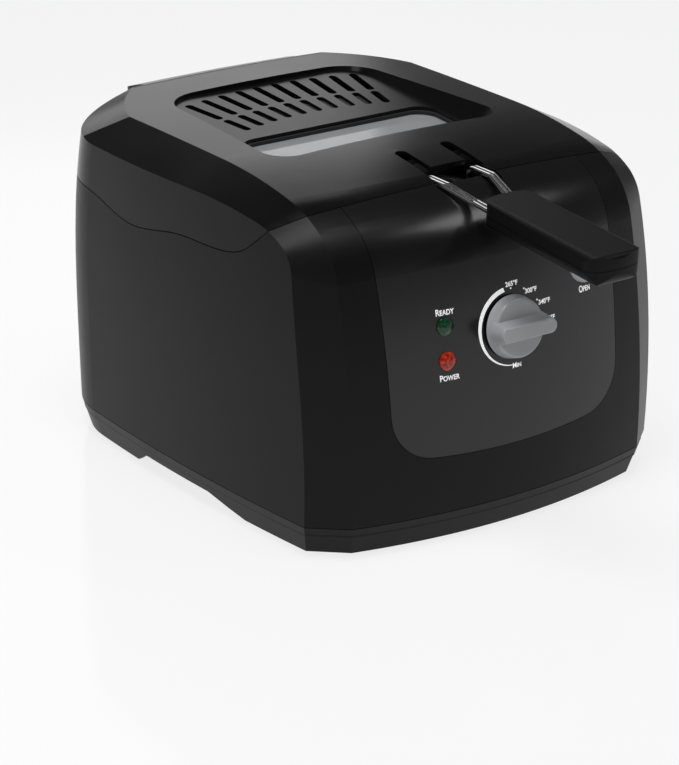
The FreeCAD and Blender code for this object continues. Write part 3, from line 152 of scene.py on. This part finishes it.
class Graph:
    """Shader graph of one material or world."""

    def __init__(self, owner: Union[bpy.types.Material, bpy.types.World]) -> None:
        """Switch on the owner's nodes and empty them.

        Args:
            owner: Material or world that the graph belongs to.
        """
        owner.use_nodes = True
        self.tree = owner.node_tree
        self.tree.nodes.clear()

    def node(self, kind: str, settings: Optional[Dict[str, Any]] = None,
             inputs: Optional[Dict[Any, Any]] = None, output: Any = 0) -> Value:
        """Add a node.

        Args:
            kind: Type name of the node.
            settings: Attributes set first; "stops" are a colour ramp's (place, colour) pairs.
            inputs: Value or link of each socket, by name or number.
            output: Name or number of the output that is wanted.

        Returns:
            The wanted output.
        """
        made = self.tree.nodes.new(kind)
        for name, value in (settings or {}).items():
            if name == "stops":
                for stop, (place, colour) in zip(made.color_ramp.elements, value):
                    stop.position = place
                    stop.color = colour
            else:
                setattr(made, name, value)
        for key, value in (inputs or {}).items():
            if isinstance(value, Value):
                self.tree.links.new(value.socket, made.inputs[key])
            else:
                made.inputs[key].default_value = value
        return Value(self, made.outputs[output])

    def place(self) -> Value:
        """Object coordinates, in metres."""
        return self.node("ShaderNodeTexCoord", output="Object")

    def noise(self, size: float, detail: float = 2.0, stretch: Optional[Point] = None) -> Value:
        """Cloudy noise between nought and one.

        Args:
            size: Size of the clouds in metres.
            detail: How many finer layers are added.
            stretch: Factor on each coordinate, where the clouds are drawn out into streaks.

        Returns:
            The noise value.
        """
        where = self.place()
        if stretch is not None:
            where = self.node("ShaderNodeMapping", None, {"Vector": where, "Scale": stretch})
        return self.node("ShaderNodeTexNoise", None,
                         {"Vector": where, "Scale": 1.0 / size, "Detail": detail}, "Fac")

    def blend(self, share: Number, first: Any, second: Any) -> Value:
        """Mix two colours by the share of the second."""
        return self.node("ShaderNodeMix", {"data_type": "RGBA"}, {0: share, 6: first, 7: second}, 2)

    def shade(self, share: Number, colour: Colour, dark: float, pale: float) -> Value:
        """Let a colour drift between a darker and a paler shade of itself."""
        return self.blend(share, solid(colour, dark), solid(colour, pale))

    def bump(self, height: Value, depth: float) -> Value:
        """Turn a height between nought and one into a normal, with the relief's depth in metres."""
        return self.node("ShaderNodeBump", None, {"Strength": 1.0, "Distance": depth, "Height": height})

    def surface(self, inputs: Dict[str, Any]) -> Value:
        """Add the main shader with the given sockets."""
        return self.node("ShaderNodeBsdfPrincipled", None, inputs)

    def close(self, shader: Value, kind: str = "ShaderNodeOutputMaterial") -> None:
        """Link a shader to the output."""
        made = self.tree.nodes.new(kind)
        self.tree.links.new(shader.socket, made.inputs["Surface"])


@dataclass(frozen=True)
class Finish:
    """Look of one kind of surface."""

    name: str

    def sockets(self, graph: Graph) -> Dict[str, Any]:
        """Values and links of the main shader's sockets, which each kind of finish gives."""
        raise NotImplementedError

    def material(self) -> bpy.types.Material:
        """Build the material.

        Returns:
            The new material.
        """
        made = bpy.data.materials.new(self.name)
        graph = Graph(made)
        graph.close(graph.surface(self.sockets(graph)))
        return made


@dataclass(frozen=True)
class Plastic(Finish):
    """Moulded plastic with a slow drift of tone, a fine grain and a sheen that wanders a little."""

    colour: Colour
    roughness: float
    grain: float = 0.6 * MM
    relief: float = 0.004 * MM
    drift: float = 0.12
    specular: float = 0.5
    cloud_size: float = 45 * MM
    sheen_drift: float = 0.25
    sheen_grain: float = 0.04

    def sockets(self, graph: Graph) -> Dict[str, Any]:
        """Clouds for the tone and a fine grain for sheen and relief.

        Args:
            graph: Graph that the nodes go into.

        Returns:
            Values and links of the main shader's sockets.
        """
        cloud = graph.noise(self.cloud_size)
        fine = graph.noise(self.grain, FINE_LAYERS)
        sheen = self.roughness + (cloud - NOISE_MIDDLE) * (self.sheen_drift * self.roughness)
        return {"Base Color": graph.shade(cloud, self.colour, 1 - self.drift, 1 + self.drift),
                "Roughness": sheen + (fine - NOISE_MIDDLE) * self.sheen_grain,
                "Specular IOR Level": self.specular,
                "Normal": graph.bump(fine, self.relief)}


@dataclass(frozen=True)
class Metal(Finish):
    """Bare or plated metal with a fine brushed or drawn relief."""

    colour: Colour
    roughness: float
    streak: Point = (1.0, 1.0, 1.0)
    grain: float = 1.2 * MM
    relief: float = 0.004 * MM
    cloud_size: float = 30 * MM
    dark: float = 0.92
    pale: float = 1.06
    sheen_drift: float = 0.5

    def sockets(self, graph: Graph) -> Dict[str, Any]:
        """Streaks for sheen and relief, and clouds for the tone.

        Args:
            graph: Graph that the nodes go into.

        Returns:
            Values and links of the main shader's sockets.
        """
        lines = graph.noise(self.grain, FINE_LAYERS, self.streak)
        cloud = graph.noise(self.cloud_size)
        return {"Base Color": graph.shade(cloud, self.colour, self.dark, self.pale),
                "Roughness": self.roughness + (lines - NOISE_MIDDLE) * (self.sheen_drift * self.roughness),
                "Metallic": 1.0,
                "Normal": graph.bump(lines, self.relief)}


@dataclass(frozen=True)
class Jewel(Finish):
    """Coloured lens moulded with small facets, with painted highlights in their middles."""

    colour: Colour
    # Colour of the painted highlight in each facet's middle.
    painted_glow: Colour
    facet: float = 1.9 * MM
    relief: float = 0.15 * MM
    # Share of the colour left in the painted shade at the facet edges.
    painted_edge_shade: float = 0.35
    roughness: float = 0.12
    specular: float = 0.3
    coat: float = 0.2

    def sockets(self, graph: Graph) -> Dict[str, Any]:
        """Facets with a painted highlight in the middle and painted shade at their edges.

        Args:
            graph: Graph that the nodes go into.

        Returns:
            Values and links of the main shader's sockets.
        """
        cells = graph.node("ShaderNodeTexVoronoi", {"feature": "F1"},
                           {"Vector": graph.place(), "Scale": 1.0 / self.facet}, "Distance")
        # Base colour: a painted highlight at each facet's middle and painted shade towards its edges.
        return {"Base Color": graph.blend(cells, solid(self.painted_glow), solid(self.colour, self.painted_edge_shade)),
                "Roughness": self.roughness,
                "Specular IOR Level": self.specular,
                "Coat Weight": self.coat,
                "Normal": graph.bump(1.0 - cells, self.relief)}


@dataclass(frozen=True)
class Pane(Finish):
    """See-through sheet with a faint haze."""

    colour: Colour
    cover: float
    roughness: float = 0.06
    cloud_size: float = 18 * MM
    dark: float = 0.94
    pale: float = 1.04
    roughness_drift: float = 0.03
    cover_drift: float = 0.06

    def sockets(self, graph: Graph) -> Dict[str, Any]:
        """Haze that drifts in tone, sheen and cover.

        Args:
            graph: Graph that the nodes go into.

        Returns:
            Values and links of the main shader's sockets.
        """
        haze = graph.noise(self.cloud_size)
        return {"Base Color": graph.shade(haze, self.colour, self.dark, self.pale),
                "Roughness": self.roughness + haze * self.roughness_drift,
                "Alpha": self.cover + (haze - NOISE_MIDDLE) * self.cover_drift}


@dataclass(frozen=True)
class Ink(Finish):
    """Printed paint with a slight unevenness and a painted glow, emitting some light of its own."""

    colour: Colour
    # Strength of the painted glow that the print emits.
    painted_glow: float = 0.5
    speck_size: float = 0.4 * MM
    dark: float = 0.95
    roughness: float = 0.45
    roughness_drift: float = 0.1

    def sockets(self, graph: Graph) -> Dict[str, Any]:
        """Small specks in tone and sheen, and a painted glow in the print's tone.

        Args:
            graph: Graph that the nodes go into.

        Returns:
            Values and links of the main shader's sockets.
        """
        speck = graph.noise(self.speck_size)
        tone = graph.shade(speck, self.colour, self.dark, 1.0)
        return {"Base Color": tone,
                "Roughness": self.roughness + speck * self.roughness_drift,
                # Painted glow: the print emits light in its own tone.
                "Emission Color": tone,
                "Emission Strength": self.painted_glow}


@dataclass(frozen=True)
class Felt(Finish):
    """Matted fibre."""

    colour: Colour
    fibre_size: float = 1.5 * MM
    layers: float = 5.0
    dark: float = 0.6
    pale: float = 1.4
    roughness: float = 0.95
    relief: float = 0.4 * MM

    def sockets(self, graph: Graph) -> Dict[str, Any]:
        """Tangled fibre in tone and relief.

        Args:
            graph: Graph that the nodes go into.

        Returns:
            Values and links of the main shader's sockets.
        """
        fibre = graph.noise(self.fibre_size, self.layers)
        return {"Base Color": graph.shade(fibre, self.colour, self.dark, self.pale),
                "Roughness": self.roughness,
                "Normal": graph.bump(fibre, self.relief)}


FINISHES: Dict[str, Finish] = {
    "housing_plastic": Plastic("satin black moulding", (0.005, 0.005, 0.0055), 0.36, specular=0.15),
    "skirt_plastic": Plastic("matte black moulding", (0.006, 0.006, 0.0065), 0.4, specular=0.19),
    "base_plastic": Plastic("grained black moulding", (0.016, 0.016, 0.016), 0.55, grain=0.9 * MM,
                            relief=0.02 * MM),
    "rubber": Plastic("black rubber", (0.018, 0.018, 0.018), 0.75, grain=0.5 * MM, relief=0.02 * MM),
    "screw_steel": Metal("zinc plated screws", (0.55, 0.55, 0.57), 0.32),
    "deck_plastic": Plastic("black deck moulding", (0.012, 0.012, 0.012), 0.45),
    "panel_gloss": Plastic("polished black panel", (0.006, 0.006, 0.0065), 0.24, relief=0.0008 * MM,
                           specular=0.45),
    # Each lens's second colour is the painted highlight in its facets' middles.
    "green_lens": Jewel("green jewel", (0.003, 0.022, 0.009), (0.012, 0.1, 0.034)),
    "red_lens": Jewel("orange red jewel", (0.24, 0.008, 0.004), (0.85, 0.06, 0.02)),
    "lamp_glass": Pane("lamp glass", (0.9, 0.8, 0.7), 0.6),
    "thermostat_body": Plastic("brown phenolic", (0.09, 0.055, 0.04), 0.5),
    "sheet_steel": Metal("zinc plated sheet", (0.6, 0.6, 0.62), 0.38),
    "copper": Metal("drawn copper", (0.72, 0.42, 0.28), 0.3),
    "spring_steel": Metal("bright steel wire", (0.5, 0.5, 0.51), 0.22),
    "nonstick_aluminium": Plastic("dark nonstick coating", (0.02, 0.02, 0.021), 0.38, grain=1.4 * MM,
                                  relief=0.02 * MM),
    "element_sheath": Metal("heat darkened sheath", (0.2, 0.19, 0.18), 0.45),
    "fuse_ceramic": Plastic("unglazed ceramic", (0.8, 0.78, 0.72), 0.7),
    "brass": Metal("plated contacts", (0.75, 0.58, 0.3), 0.25),
    "lid_gloss": Plastic("polished black lid", (0.005, 0.005, 0.0055), 0.2, relief=0.0008 * MM,
                         specular=0.16),
    "window_glass": Pane("window pane", (0.34, 0.345, 0.36), 0.84),
    "liner_aluminium": Metal("satin pressed sheet", (0.62, 0.62, 0.64), 0.36, streak=(0.15, 1.0, 1.0)),
    "silicone": Plastic("grey silicone", (0.32, 0.32, 0.33), 0.65),
    "filter_felt": Felt("carbon filter mat", (0.06, 0.06, 0.06)),
    "knob_silver": Plastic("silver translucent knob", (0.42, 0.43, 0.45), 0.28, grain=0.3 * MM,
                           drift=0.05),
    "button_silver": Plastic("silver translucent button", (0.4, 0.41, 0.43), 0.28, grain=0.3 * MM,
                             drift=0.05),
    "basket_chrome": Metal("bright plated wire", (0.78, 0.78, 0.79), 0.14),
    "handle_plastic": Plastic("satin black grip", (0.006, 0.006, 0.0065), 0.45, grain=0.7 * MM,
                              relief=0.01 * MM, specular=0.1),
    "white_ink": Ink("white print", (0.88, 0.88, 0.88)),
}


class Workshop:
    """Shared bench: materials made once, and the operators that every piece goes through."""

    def __init__(self, parts: Dict[str, bpy.types.Object], record: Dict[str, Any],
                 joints: Sequence[Dict[str, Any]]) -> None:
        """Keep the CAD nodes, and read each one's slot and each joint's axis.

        Args:
            parts: The CAD nodes by name.
            record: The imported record.
            joints: The frame's joints.
        """
        self.parts = parts
        self.slots = {entry["node"]: entry["material_slot"] for entry in record["subparts"]}
        self.axes = {joint["name"]: Vector(joint["axis"]) for joint in joints}
        self.made: Dict[str, bpy.types.Material] = {}

    def material(self, slot: str) -> bpy.types.Material:
        """Find a slot's material, and make it when it is first asked for.

        Args:
            slot: Name of the slot.

        Returns:
            The slot's material.
        """
        if slot not in self.made:
            self.made[slot] = FINISHES[slot].material()
        return self.made[slot]

    def paint(self, piece: bpy.types.Object, slot: str) -> None:
        """Give a piece the material of a slot and nothing else."""
        piece.data.materials.clear()
        piece.data.materials.append(self.material(slot))

    def dress(self, *nodes: str) -> None:
        """Paint CAD nodes with the finishes that the record gives them.

        Args:
            nodes: Names of the CAD nodes.
        """
        for node in nodes:
            self.paint(self.parts[node], self.slots[node])
            LOG.info("dressed %s", node)

    def deselect(self) -> None:
        """Leave edit mode and select nothing."""
        if bpy.context.object is not None and bpy.context.object.mode != "OBJECT":
            bpy.ops.object.mode_set(mode="OBJECT")
        bpy.ops.object.select_all(action="DESELECT")

    def take(self, piece: bpy.types.Object) -> None:
        """Make a piece the only selected and active one.

        Args:
            piece: The piece to take.
        """
        self.deselect()
        piece.select_set(True)
        bpy.context.view_layer.objects.active = piece

    def settle(self, piece: bpy.types.Object) -> None:
        """Move a piece's place and turn into its mesh."""
        self.take(piece)
        bpy.ops.object.transform_apply(location=True, rotation=True, scale=True)

    def keep(self, piece: bpy.types.Object, name: str, slot: str, body: Body, owned: bool = True) -> None:
        """Name a new piece, paint it and let it ride on its body.

        Args:
            piece: The finished piece.
            name: Name of the piece.
            slot: Finish that it is painted with.
            body: Body that it moves with.
            owned: Whether the slot is one of the record's; not used.
        """
        piece.name = name
        piece.data.name = name
        self.paint(piece, slot)
        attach(piece, body.value)
        LOG.info("made %s", name)


@dataclass
class Assembly:
    """Group of CAD nodes that belong together."""

    bench: Workshop
    plain: Sequence[str] = ()

    def build(self) -> None:
        """Dress the nodes."""
        self.bench.dress(*self.plain)


@dataclass
class Housing(Assembly):
    """Housing, skirt, base, deck and power inlet."""

    plain: Sequence[str] = ("base_skirt", "bottom_cover", "rubber_feet", "base_screws", "top_deck",
                            "power_inlet", "inlet_pins", "inlet_magnet_plates", "hinge_pin",
                            "housing_shell")


@dataclass(frozen=True)
class Label:
    """Word or number printed on the panel, fitted into a box."""

    words: str
    middle: Spot
    width: float = 9.1 * MM
    height: float = 3.1 * MM


@dataclass
class ControlPanel(Assembly):
    """Panel with its print, lenses, knob, button, latch and thermostat."""

    plain: Sequence[str] = ("front_panel", "ready_lens", "power_lens", "indicator_lamps", "thermostat",
                            "thermostat_bracket", "thermostat_sensor", "button_guide", "latch_pivot",
                            "latch_lever", "temperature_knob", "thermostat_shaft", "open_button")
    labels: Sequence[Label] = (
        Label("Ready", (-46.3 * MM, 145.9 * MM), 12.3 * MM, 3.9 * MM),
        Label("Power", (-46.2 * MM, 106.4 * MM), 13.4 * MM, 3.9 * MM),
        Label("Open", (60.0 * MM, 138.5 * MM), 9.4 * MM, 4.2 * MM),
        Label("Min", (1.9 * MM, 104.6 * MM), 6.4 * MM, 3.2 * MM),
        Label("265°F", (2.3 * MM, 154.0 * MM)),
        Label("300°F", (16.3 * MM, 147.3 * MM)),
        Label("340°F", (26.0 * MM, 138.5 * MM)),
        Label("375°F", (28.9 * MM, 127.4 * MM)),
    )
    small_capital: float = 0.8
    stroke_gain: float = 0.08 * MM
    dots: Sequence[Spot] = ((1.4 * MM, 151.5 * MM), (11.2 * MM, 149.4 * MM), (20.4 * MM, 140.7 * MM),
                            (23.3 * MM, 129.0 * MM))
    dot_radius: float = 0.55 * MM
    dot_sides: int = 20
    dial_middle: Spot = (-0.5 * MM, 129.0 * MM)
    dial_radius: float = 24.0 * MM
    dial_sides: int = 120
    arc_end: Point = (-2.4 * MM, 0.0, 0.0)
    arc_end_normal: Point = (1.0, 0.05, 0.0)
    arc_inner_share: float = 0.9354
    arc_inner_shift: Point = (0.6 * MM, -1.05 * MM, 0.0)
    in_front: float = -300 * MM
    print_height: float = 0.06 * MM
    print_thickness: float = 0.05 * MM
    weld: float = 0.001 * MM
    spring_pressed: float = 0.55

    def build(self) -> None:
        """Dress the nodes, fit the button's spring and print the panel."""
        super().build()
        self.fit_spring()
        for label in self.labels:
            self.print_label(label)
        self.print_dots()
        self.print_arc()

    def fit_spring(self) -> None:
        """Put a copy of the leaf springs, with doubled points merged, in the place of the CAD ones."""
        self.bench.take(self.bench.parts["button_spring"])
        bpy.ops.object.duplicate()
        spring = bpy.context.object
        del spring["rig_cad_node"]
        bpy.ops.object.mode_set(mode="EDIT")
        bpy.ops.mesh.select_all(action="SELECT")
        bpy.ops.mesh.remove_doubles(threshold=self.weld)
        bpy.ops.object.mode_set(mode="OBJECT")
        self.bench.keep(spring, "leaf_springs", "spring_steel", Body.FRYER)
        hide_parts("button_spring")
        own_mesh(spring)

    def lay(self, piece: bpy.types.Object, name: str) -> None:
        """Press a flat piece that stands in front of the panel on to it and give it thickness.

        Args:
            piece: Upright flat mesh in front of the panel.
            name: Name of the finished piece.
        """
        self.bench.take(piece)
        bpy.ops.object.modifier_add(type="SHRINKWRAP")
        wrap = piece.modifiers[-1]
        wrap.target = self.bench.parts["front_panel"]
        wrap.wrap_method = "PROJECT"
        wrap.wrap_mode = "ABOVE_SURFACE"
        wrap.use_project_y = True
        wrap.use_positive_direction = True
        wrap.use_negative_direction = False
        wrap.offset = self.print_height
        bpy.ops.object.modifier_apply(modifier=wrap.name)
        bpy.ops.object.modifier_add(type="SOLIDIFY")
        thick = piece.modifiers[-1]
        thick.thickness = self.print_thickness
        thick.offset = 0.0
        bpy.ops.object.modifier_apply(modifier=thick.name)
        self.bench.keep(piece, name, "white_ink", Body.FRYER, owned=False)

    def print_label(self, label: Label) -> None:
        """Set a label in small capitals on the panel.

        Args:
            label: Word, place and size.
        """
        self.bench.deselect()
        bpy.ops.object.text_add()
        text = bpy.context.object
        text.data.body = label.words
        text.data.size = label.height
        text.data.small_caps_scale = self.small_capital
        text.data.align_x = "CENTER"
        text.data.align_y = "CENTER"
        text.data.offset = self.stroke_gain
        for letter in text.data.body_format:
            letter.use_small_caps = True
        bpy.ops.object.convert(target="MESH")
        text = bpy.context.object
        text.scale = (label.width / text.dimensions.x, label.height / text.dimensions.y, 1.0)
        text.rotation_euler = (UPRIGHT, 0.0, 0.0)
        text.location = (label.middle[0], self.in_front, label.middle[1])
        self.bench.settle(text)
        self.lay(text, "print_" + label.words.lower().replace("°", ""))

    def print_dots(self) -> None:
        """Set a dot beside each temperature."""
        self.bench.deselect()
        discs: List[bpy.types.Object] = []
        for x, z in self.dots:
            bpy.ops.mesh.primitive_circle_add(vertices=self.dot_sides, radius=self.dot_radius,
                                              fill_type="NGON", location=(x, self.in_front, z),
                                              rotation=(UPRIGHT, 0.0, 0.0))
            discs.append(bpy.context.object)
        for disc in discs:
            disc.select_set(True)
        bpy.ops.object.join()
        dots = bpy.context.object
        self.bench.settle(dots)
        self.lay(dots, "print_dots")

    def print_arc(self) -> None:
        """Sweep the tapered arc round the left of the knob."""
        self.bench.deselect()
        bpy.ops.mesh.primitive_circle_add(vertices=self.dial_sides, radius=self.dial_radius,
                                          fill_type="NOTHING")
        arc = bpy.context.object
        bpy.ops.object.mode_set(mode="EDIT")
        bpy.ops.mesh.select_all(action="SELECT")
        bpy.ops.mesh.bisect(plane_co=self.arc_end, plane_no=self.arc_end_normal, clear_outer=True)
        bpy.ops.mesh.select_all(action="SELECT")
        bpy.ops.mesh.extrude_region_move()
        bpy.ops.transform.resize(value=(self.arc_inner_share, self.arc_inner_share, 1.0),
                                 center_override=(0.0, 0.0, 0.0))
        bpy.ops.transform.translate(value=self.arc_inner_shift)
        bpy.ops.mesh.select_all(action="SELECT")
        bpy.ops.mesh.normals_make_consistent(inside=False)
        bpy.ops.object.mode_set(mode="OBJECT")
        arc.rotation_euler = (UPRIGHT, 0.0, 0.0)
        arc.location = (self.dial_middle[0], self.in_front, self.dial_middle[1])
        self.bench.settle(arc)
        self.lay(arc, "print_arc")


@dataclass
class Heater(Assembly):
    """Oil pot, heating element and what guards them."""

    plain: Sequence[str] = ("oil_pot", "heating_element", "heat_shield", "thermal_fuse")


@dataclass
class Lid(Assembly):
    """Lid with its window, liner, seal and filter."""

    plain: Sequence[str] = ("lid_cover", "window_pane", "window_gasket", "lid_liner", "lid_seal",
                            "filter_frame", "vent_filter", "lid_strike", "lid_screws")


@dataclass
class Basket(Assembly):
    """Wire basket with its handle."""

    plain: Sequence[str] = ("basket_rim", "basket_hoops", "basket_uprights", "basket_floor", "drain_hook",
                            "handle_wires", "handle_upper", "handle_lower", "handle_screws")


@dataclass(frozen=True)
class Softbox:
    """Square studio lamp that points at a place."""

    name: str
    place: Point
    aim: Point
    width: float
    height: float
    watts: float

    def hang(self) -> None:
        """Add the lamp."""
        bpy.ops.object.light_add(type="AREA", location=self.place)
        lamp = bpy.context.object
        lamp.name = self.name
        lamp.data.shape = "RECTANGLE"
        lamp.data.size = self.width
        lamp.data.size_y = self.height
        lamp.data.energy = self.watts
        aim = Vector(self.aim) - Vector(self.place)
        lamp.rotation_euler = aim.to_track_quat("-Z", "Y").to_euler()


@dataclass
class Studio:
    """Floor, lamps, surroundings and camera."""

    bench: Workshop
    camera_place: Point = (-1.00096, -1.39589, 0.75080)
    camera_yaw: float = -34.580
    camera_pitch: float = -22.188
    camera_lens: float = 136.297
    camera_sensor: float = 36.0
    sky_low: float = 0.26
    sky_high: float = 0.03
    sky_reach: float = 0.6
    floor_size: float = 60.0
    floor_level: float = 0.9
    floor_roughness: float = 0.12
    floor_specular: float = 0.6
    floor_white: float = 0.8
    lamps: Sequence[Softbox] = (
        Softbox("overhead box", (-0.3, -0.2, 2.3), (0.0, 0.0, 0.1), 1.2, 0.9, 34.0),
        Softbox("left box", (-2.2, -0.9, 1.5), (0.0, 0.0, 0.1), 1.0, 1.2, 12.0),
        Softbox("key box", (1.25, -0.8, 1.95), (0.0, 0.0, 0.1), 0.9, 0.6, 8.0),
        Softbox("rear box", (0.9, 2.2, 1.55), (0.0, 0.0, 0.2), 1.3, 2.0, 11.0),
    )

    def build(self) -> None:
        """Set up the studio."""
        self.lay_floor()
        self.surroundings()
        self.bench.deselect()
        for lamp in self.lamps:
            lamp.hang()
        self.stand_camera()

    def lay_floor(self) -> None:
        """Lay a pale floor that keeps the shadow and reflects a little."""
        self.bench.deselect()
        bpy.ops.mesh.primitive_plane_add(size=self.floor_size)
        floor = bpy.context.object
        floor.name = "studio_floor"
        paint = bpy.data.materials.new("pale floor")
        graph = Graph(paint)
        sheet = graph.surface({"Base Color": grey(self.floor_level), "Roughness": self.floor_roughness,
                               "Specular IOR Level": self.floor_specular})
        painted_glow = graph.node("ShaderNodeEmission", None, {"Color": grey(1.0), "Strength": 1.0})
        share = self.seen(graph) * self.floor_white
        graph.close(graph.node("ShaderNodeMixShader", None, {0: share, 1: sheet, 2: painted_glow}))
        floor.data.materials.append(paint)

    def seen(self, graph: Graph) -> Value:
        """Tell rays from the camera, and rays that come off gloss or through glass, from the rest.

        Args:
            graph: Graph that the nodes go into.

        Returns:
            One for those rays, else nought.
        """
        ray = graph.node("ShaderNodeLightPath", None, None, "Is Camera Ray")
        outputs = ray.socket.node.outputs
        gloss = Value(graph, outputs["Is Glossy Ray"])
        through = Value(graph, outputs["Is Transmission Ray"])
        return ray.or_more(gloss).or_more(through)

    def surroundings(self) -> None:
        """Fill the room with a soft grey that is paler near the horizon and dark overhead and underfoot."""
        world = bpy.data.worlds.new("studio")
        bpy.context.scene.world = world
        graph = Graph(world)
        height = graph.node("ShaderNodeSeparateXYZ", None, {0: graph.place()}, "Z")
        stops = ((0.0, grey(self.sky_low)), (self.sky_reach, grey(self.sky_high)))
        sky = graph.node("ShaderNodeValToRGB", {"stops": stops}, {0: height.size()})
        graph.close(graph.node("ShaderNodeBackground", None, {"Color": sky, "Strength": 1.0}),
                    "ShaderNodeOutputWorld")

    def stand_camera(self) -> None:
        """Stand the camera where the photograph was taken."""
        turn = (UPRIGHT + math.radians(self.camera_pitch), 0.0, math.radians(self.camera_yaw))
        bpy.ops.object.camera_add(location=self.camera_place, rotation=turn)
        camera = bpy.context.object
        camera.name = "photo_camera"
        camera.data.lens = self.camera_lens
        camera.data.sensor_width = self.camera_sensor
        bpy.context.scene.camera = camera


def main() -> None:
    """Build the looks in order."""
    logging.basicConfig(level=logging.INFO, format="%(name)s: %(message)s")
    bpy.context.scene.view_settings.view_transform = "Standard"
    bench = Workshop(frame["nodes"], frame["record"], frame["joints"])
    for kind in (Housing, ControlPanel, Heater, Lid, Basket, Studio):
        kind(bench).build()


if __name__ == "__main__":
    main()
